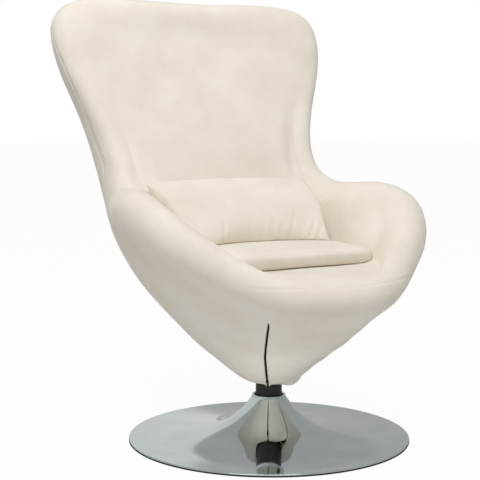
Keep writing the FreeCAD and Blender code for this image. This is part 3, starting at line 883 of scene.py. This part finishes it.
# Lean the pillow back in its place in the seat, bowed to the back and narrower at its foot
def pillow_shape(local):
    x, t, h = local[:, 0], local[:, 1], local[:, 2]
    up = np.array((0.0, math.sin(pillow_lean), math.cos(pillow_lean)))
    out = np.array((0.0, -math.cos(pillow_lean), math.sin(pillow_lean)))
    bow = -pillow_bow * (x / pillow_half_width) ** 2
    points = pillow_centre + np.outer(h, up) + np.outer(t, out)
    fallen = np.clip(-h / pillow_half_height, 0, 1)
    points[:, 0] += x * (1 - pillow_foot_taper * fallen) + pillow_offset
    points[:, 1] += bow
    return points


def lumbar_pillow(surfaces):
    bag = sewn_bag("pillow", pillow_half_width * pillow_flat_share,
                   pillow_half_height * pillow_flat_height_share)
    inflated(bag, pillow_pressure, pillow_frames)
    reshaped(bag, "SMOOTH", factor=0.5, iterations=pillow_smoothing)
    squared(bag)
    reshaped(bag, "SMOOTH", factor=0.5, iterations=pillow_last_smoothing)
    reshaped(bag, "SUBSURF", levels=1)
    local = corners_of(bag) * np.array((1.0, -1.0, 1.0))
    wanted = np.array((pillow_half_width, pillow_half_thickness, pillow_half_height))
    local = creased(local * wanted / np.max(np.abs(local), axis=0))
    moved_to(bag, pillow_shape(local))
    return kept_clear(bag, surfaces)


# Flat squab on the seat, with a rounded edge and a slight crown
def seat_pad(surfaces):
    around = np.linspace(0, 2 * math.pi, pad_segments, endpoint=False)
    c, d = np.cos(around), np.sin(around)
    x = np.sign(d) * np.abs(d) ** pad_corner
    y = -np.sign(c) * np.abs(c) ** pad_corner
    x = x * pad_half_width * (1 - pad_taper * np.maximum(y, 0))
    y = y * np.where(y < 0, pad_front, pad_back)
    rings = [(share, 0.0, 0.0) for share in pad_flat_shares]
    for angle in np.linspace(-math.pi / 2, math.pi / 2, pad_edge_rings):
        inset = (1 - np.abs(np.cos(angle)) ** pad_side_power) * (pad_thickness / 2)
        rise = np.sign(np.sin(angle)) * np.abs(np.sin(angle)) ** pad_edge_power
        rings.append((1.0, inset, 0.5 + 0.5 * rise))
    rings += [(share, 0.0, 1.0) for share in reversed(pad_flat_shares)]
    size = np.hypot(x, y)
    points = []
    for share, inset, rise in rings:
        scale = share * (size - inset) / size
        crown = pad_crown * (1 - share ** 2) * rise
        z = seat_level + pad_lift + pad_thickness * rise + crown
        points.append(np.stack((x * scale, y * scale, np.full_like(x, z)), axis=-1))
    faces = grid_faces(len(rings), pad_segments)
    faces.append(tuple(reversed(range(pad_segments))))
    faces.append(tuple(range((len(rings) - 1) * pad_segments, len(rings) * pad_segments)))
    pad = make_object("squab", points, faces)
    reshaped(pad, "REMESH", mode="VOXEL", voxel_size=pad_voxel)
    inflated(pad, pad_pressure, pad_frames, pad_most_move)
    reshaped(pad, "SUBSURF", levels=1)
    return kept_clear(pad, surfaces)


inner_piece = inner_cover()
dressed(outer_cover(), "upholstery", "seat", "outer_padding", "hem_panel")
dressed(inner_piece, "upholstery", "seat", "rim_roll", "seat_padding", "back_padding",
                  "left_arm_padding", "right_arm_padding")
for side_name, side in (("left", 1.0), ("right", -1.0)):
    teeth = zip_teeth("zip_teeth_" + side_name, frame["nodes"]["zip_" + side_name], side)
    dressed(teeth, "zip_metal", "seat")
pad_piece = seat_pad((inner_piece,))
dressed(pad_piece, "upholstery", "seat_pad", "seat_pad")
pillow_piece = lumbar_pillow((inner_piece, pad_piece))
dressed(pillow_piece, "upholstery", "lumbar_pillow", "lumbar_pillow")

# Round chromed foot, turned from an outline with a given slope, in degrees, at shares of its radius
foot_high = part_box("trumpet_base")[1]
foot_radius = foot_high.x
foot_height = foot_high.z
foot_slopes = (
    (1.0, 0.4), (0.93, 0.9), (0.847, 2.1), (0.76, 3.9), (0.68, 5.8), (0.55, 8.8), (0.42, 15.0),
    (0.36, 23.0), (0.30, 32.0), (0.254, 38.0), (0.22, 41.5), (0.19, 45.5), (0.16, 51.0), (0.14, 55.0),
    (0.116, 60.0))
foot_rim_share = 0.055
foot_top_share = 1.036
foot_wall = 0.002
lip_bead = 0.0024
bead_angles = (-25, 230)
bead_points = 22
rim_edge_shares = (0.85, 0.5, 0.15)
foot_segments = 288
foot_rings = 110
foot_samples = 400

# Slopes are brought down to the size of the shares before a curve is drawn through both
slope_scale = 100


# Smooth curve through points, by a natural cubic spline over the distance between them
def smooth_through(points, count):
    points = np.array(points, float)
    at = lengths_along(points)
    n = len(at)
    h = np.diff(at)
    system = np.eye(n)
    wanted = np.zeros_like(points)
    for k in range(1, n - 1):
        system[k, k - 1:k + 2] = (h[k - 1], 2 * (h[k - 1] + h[k]), h[k])
        wanted[k] = 6 * ((points[k + 1] - points[k]) / h[k] - (points[k] - points[k - 1]) / h[k - 1])
    bend = np.linalg.solve(system, wanted)
    t = np.linspace(0, at[-1], count)
    i = np.clip(np.searchsorted(at, t) - 1, 0, n - 2)
    a = ((at[i + 1] - t) / h[i])[:, None]
    b = ((t - at[i]) / h[i])[:, None]
    return (a * points[i] + b * points[i + 1]
            + ((a ** 3 - a) * bend[i] + (b ** 3 - b) * bend[i + 1]) * (h[i] ** 2)[:, None] / 6)


# Turn an outline of radii and heights round the upright axis
def turned(name, outline, segments):
    angle = np.linspace(0, 2 * math.pi, segments, endpoint=False)
    outline = np.array(outline)
    points = np.stack((outline[:, :1] * np.cos(angle), outline[:, :1] * np.sin(angle),
                       np.repeat(outline[:, 1:], segments, axis=1)), axis=-1)
    return make_object(name, points, grid_faces(len(outline), segments))


def foot():
    steps = smooth_through([(share, slope / slope_scale) for share, slope in foot_slopes], foot_samples)
    r = steps[:, 0]
    rise = np.tan(np.radians(steps[:, 1] * slope_scale))
    climb = np.concatenate(([0], np.cumsum((rise[1:] + rise[:-1]) / 2 * -np.diff(r))))
    z = foot_rim_share + (foot_top_share - foot_rim_share) * climb / climb[-1]
    fine = np.stack((foot_radius * r, foot_height * z), axis=-1)
    lengths = lengths_along(fine)
    upper = values_at(np.linspace(0, lengths[-1], foot_rings), lengths, fine)
    along = np.gradient(upper, axis=0)
    inward = unit(np.stack((along[:, 1], -along[:, 0]), axis=-1))
    lower = upper - np.abs(inward) * foot_wall
    bead_centre = upper[-1] - np.array((foot_wall / 2, 0.0))
    bead = [bead_centre + lip_bead * np.array((math.cos(angle), math.sin(angle)))
            for angle in np.linspace(*np.radians(bead_angles), bead_points)]
    rim_edge = [upper[0] + np.array((0.0, -foot_wall * share)) for share in rim_edge_shares]
    outline = [lower[0]] + rim_edge + list(upper[:-1]) + bead + list(lower[::-1][1:-1]) + [lower[0]]
    return turned("base_foot", outline, foot_segments)


dressed(foot(), "chrome", "base", "trumpet_base")

# Camera at the photograph's place: its angle round the chair, distance, height, pitch and turn
camera_turn = math.radians(30.0)
camera_distance = 2.620
camera_height = 0.706
camera_pitch = math.radians(5.8)
photo_width = 480
photo_focal = 1200.0
axis_pixel = 269.3
camera_yaw = math.atan((axis_pixel - photo_width / 2) / photo_focal)
camera = bpy.data.objects.new("camera", bpy.data.cameras.new("camera"))
bpy.context.scene.collection.objects.link(camera)
camera.data.sensor_width = 36.0
camera.data.lens = camera.data.sensor_width * photo_focal / photo_width
camera.location = (-camera_distance * math.sin(camera_turn), -camera_distance * math.cos(camera_turn),
                   camera_height)
camera.rotation_euler = (math.pi / 2 - camera_pitch, 0.0, -camera_turn + camera_yaw)
bpy.context.scene.camera = camera


# A sum or the like of two values, each a number or what another node gives out
def calculated(tree, operation, a, b):
    made = tree.nodes.new("ShaderNodeMath")
    made.operation = operation
    for socket, value in zip(made.inputs, (a, b)):
        if isinstance(value, float):
            socket.default_value = value
        else:
            tree.links.new(value, socket)
    return made.outputs["Value"]


# 1 where a thing is seen, by the camera or in metal or glass, and 0 where it only lights another
def seen_directly(tree):
    paths = tree.nodes.new("ShaderNodeLightPath")
    either = calculated(tree, "MAXIMUM", paths.outputs["Is Camera Ray"], paths.outputs["Is Glossy Ray"])
    return calculated(tree, "MAXIMUM", either, paths.outputs["Is Transmission Ray"])


# White, or the given tone where polished metal mirrors it
def white_or_mirrored(tree, mirrored):
    paths = tree.nodes.new("ShaderNodeLightPath")
    tone = tree.nodes.new("ShaderNodeMix")
    tone.data_type = "FLOAT"
    tree.links.new(paths.outputs["Is Glossy Ray"], tone.inputs["Factor"])
    tone.inputs["A"].default_value = 1.0
    if isinstance(mirrored, float):
        tone.inputs["B"].default_value = mirrored
    else:
        tree.links.new(mirrored, tone.inputs["B"])
    return tone.outputs["Result"]


# Show one shader instead of another, as far as a share says
def shown_instead(tree, share, plain, shown, output):
    blend = tree.nodes.new("ShaderNodeMixShader")
    tree.links.new(share, blend.inputs["Fac"])
    tree.links.new(plain, blend.inputs[1])
    tree.links.new(shown, blend.inputs[2])
    tree.links.new(blend.outputs["Shader"], output.inputs["Surface"])


# Plain pale floor: nearly white for the camera, grey in polished metal, and it takes a soft shadow
floor_size = 30.0
floor_white_share = 0.96
floor_mirrored_tone = 0.45
floor_corners = [(x * floor_size, y * floor_size, 0) for x, y in ((-1, -1), (1, -1), (1, 1), (-1, 1))]
floor = make_object("floor", floor_corners, [(0, 1, 2, 3)])


def pale_floor():
    made, tree, shader = material("pale_floor", roughness=0.9, color=srgb(239, 239, 239))
    white = tree.nodes.new("ShaderNodeEmission")
    white.inputs["Color"].default_value = (1.0, 1.0, 1.0, 1.0)
    tree.links.new(white_or_mirrored(tree, floor_mirrored_tone), white.inputs["Strength"])
    share = calculated(tree, "MULTIPLY", seen_directly(tree), floor_white_share)
    shown_instead(tree, share, shader.outputs["BSDF"], white.outputs["Emission"],
                  tree.nodes["Material Output"])
    return made


floor.data.materials.append(pale_floor())


# Soft studio light: a wide lamp overhead to the sitter's right, a weak one in front, and a faint card low
# by the neck, which polished metal doesn't see
def area_lamp(name, place, target, size, power):
    lamp = bpy.data.objects.new(name, bpy.data.lights.new(name, "AREA"))
    bpy.context.scene.collection.objects.link(lamp)
    lamp.data.shape = "RECTANGLE"
    lamp.data.size = size[0]
    lamp.data.size_y = size[1]
    lamp.data.energy = power
    lamp.location = place
    lamp.visible_camera = False
    lamp.rotation_euler = (Vector(target) - Vector(place)).to_track_quat("-Z", "Y").to_euler()
    return lamp


area_lamp("overhead", place=(-0.65, -0.95, 3.0), target=(0, 0, 0.5), size=(2.2, 2.2), power=61)
area_lamp("front_fill", place=(0.2, -3.2, 2.2), target=(0, 0, 0.5), size=(2.0, 1.6), power=2)
low_card = area_lamp("low_card", place=(-0.10, -0.17, 0.045), target=(0, 0, 0.2), size=(0.2, 0.1),
                     power=0.10)
low_card.visible_glossy = False

# The room: even and pale for the cloth and white for the camera; in polished metal it is bright towards
# the picture's left, and greyer towards its right and above
room_strength = 0.365
bright_top = 0.335
bright_slant = 0.4
bright_side = 0.065
soft_edge = 0.015
room_left = (-0.866, 0.5, 0.0)
left_tone = 0.71
right_tone = 0.46
ceiling_tone = 0.41


# A soft step from one value to another, round a level of the source
def stepped(tree, source, level, first, last):
    made = tree.nodes.new("ShaderNodeMapRange")
    made.interpolation_type = "SMOOTHSTEP"
    made.inputs["From Min"].default_value = level - soft_edge
    made.inputs["From Max"].default_value = level + soft_edge
    made.inputs["To Min"].default_value = first
    made.inputs["To Max"].default_value = last
    tree.links.new(source, made.inputs["Value"])
    return made.outputs["Result"]


# Tone of the room's walls and ceiling in polished metal
def room_tone(tree):
    place = tree.nodes.new("ShaderNodeTexCoord")
    parts = tree.nodes.new("ShaderNodeSeparateXYZ")
    tree.links.new(place.outputs["Generated"], parts.inputs["Vector"])
    side = tree.nodes.new("ShaderNodeVectorMath")
    side.operation = "DOT_PRODUCT"
    side.inputs[1].default_value = room_left
    tree.links.new(place.outputs["Generated"], side.inputs[0])
    wall = stepped(tree, side.outputs["Value"], bright_side, right_tone, left_tone)
    slant = calculated(tree, "MULTIPLY", side.outputs["Value"], bright_slant)
    level = calculated(tree, "SUBTRACT", parts.outputs["Z"], slant)
    above = stepped(tree, level, bright_top, 0.0, 1.0)
    below = calculated(tree, "SUBTRACT", 1.0, above)
    return calculated(tree, "ADD", calculated(tree, "MULTIPLY", wall, below),
                      calculated(tree, "MULTIPLY", above, ceiling_tone))


def studio_world():
    world = bpy.data.worlds.new("studio")
    world.use_nodes = True
    tree = world.node_tree
    room = tree.nodes["Background"]
    room.inputs["Color"].default_value = (1.0, 1.0, 1.0, 1.0)
    room.inputs["Strength"].default_value = room_strength
    shown = tree.nodes.new("ShaderNodeBackground")
    shown.inputs["Color"].default_value = (1.0, 1.0, 1.0, 1.0)
    tree.links.new(white_or_mirrored(tree, room_tone(tree)), shown.inputs["Strength"])
    shown_instead(tree, seen_directly(tree), room.outputs["Background"], shown.outputs["Background"],
                  tree.nodes["World Output"])
    return world


bpy.context.scene.world = studio_world()
bpy.context.scene.view_settings.view_transform = "Standard"
